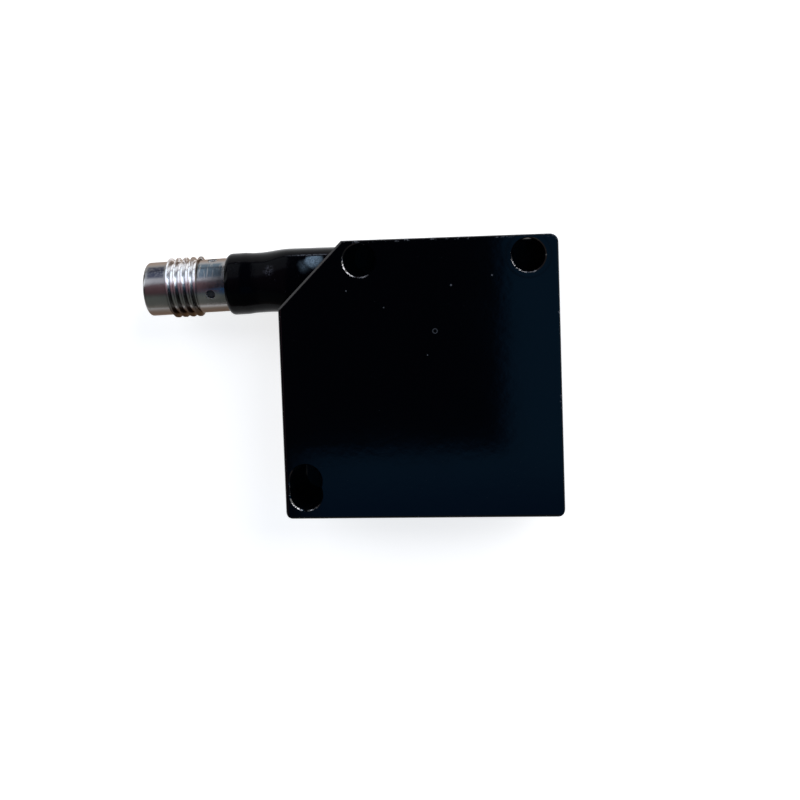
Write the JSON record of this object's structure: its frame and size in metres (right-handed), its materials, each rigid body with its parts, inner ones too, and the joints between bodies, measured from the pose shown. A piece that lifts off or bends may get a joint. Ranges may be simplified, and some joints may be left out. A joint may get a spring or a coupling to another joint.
{
  "type": "reflective optical sensor",
  "caption": "Slim square optical sensor in a black die-cast housing with a cut corner, mounting holes and slot, a moulded boot and a stub plug with an M8 thread.",
  "frame": {"origin": "centre of the square underside, the cover side, in the plane that the sensor lies on", "axes": "+Z out of the plain face, away from the cover; +X towards the optical front, away from the plug; +Y towards the edge with the two round holes"},
  "size_m": [0.0533, 0.035, 0.0124],
  "materials": {
    "black_lacquer": "glossy black lacquer on die-cast metal, worn at the edges",
    "cover_lacquer": "satin black lacquer",
    "grey_seal": "matt sealing compound",
    "tinted_window": "dark red tinted pane",
    "optics_black": "matt black moulding",
    "clear_lens": "polished clear lens",
    "gilt_can": "gold-plated can and legs",
    "board_green": "green solder mask",
    "chip_black": "moulded package",
    "chip_silicon": "detector under a clear cover",
    "screw_steel": "zinc-plated steel",
    "capacitor_metal": "satin can",
    "lamp_body": "cream package",
    "light_pipe_clear": "clear acrylic",
    "flex_amber": "amber polyimide film",
    "boot_black": "glossy moulded elastomer",
    "oring_black": "nitrile rubber",
    "clip_steel": "spring steel",
    "lead_brown": "insulation",
    "lead_white": "insulation",
    "lead_blue": "insulation",
    "lead_black": "insulation",
    "plug_nickel": "nickel-plated brass, turned, slightly worn",
    "contact_black": "glass-filled nylon",
    "pin_gold": "gold-plated"
  },
  "bodies": {
    "root": {"housing": "black_lacquer", "side_cover": "cover_lacquer", "cover_seal": "grey_seal", "front_window": "tinted_window", "window_seal": "grey_seal", "optics_carrier": "optics_black", "light_baffle": "optics_black", "emitter_lens": "clear_lens", "receiver_lens": "clear_lens", "emitter": "gilt_can", "emitter_board": "board_green", "receiver_chip": "chip_silicon", "receiver_board": "board_green", "carrier_screws": "screw_steel", "main_board": "board_green", "processor": "chip_black", "output_driver": "chip_black", "capacitors": "capacitor_metal", "indicator_lamp": "lamp_body", "light_pipe": "light_pipe_clear", "receiver_flex": "flex_amber", "emitter_flex": "flex_amber", "board_screws": "screw_steel", "boot": "boot_black", "boot_seal": "oring_black", "boot_clip": "clip_steel", "lead_brown": "lead_brown", "lead_white": "lead_white", "lead_blue": "lead_blue", "lead_black": "lead_black", "plug_sleeve": "plug_nickel", "contact_carrier": "contact_black", "contact_pins": "pin_gold"}
  },
  "joints": []
}
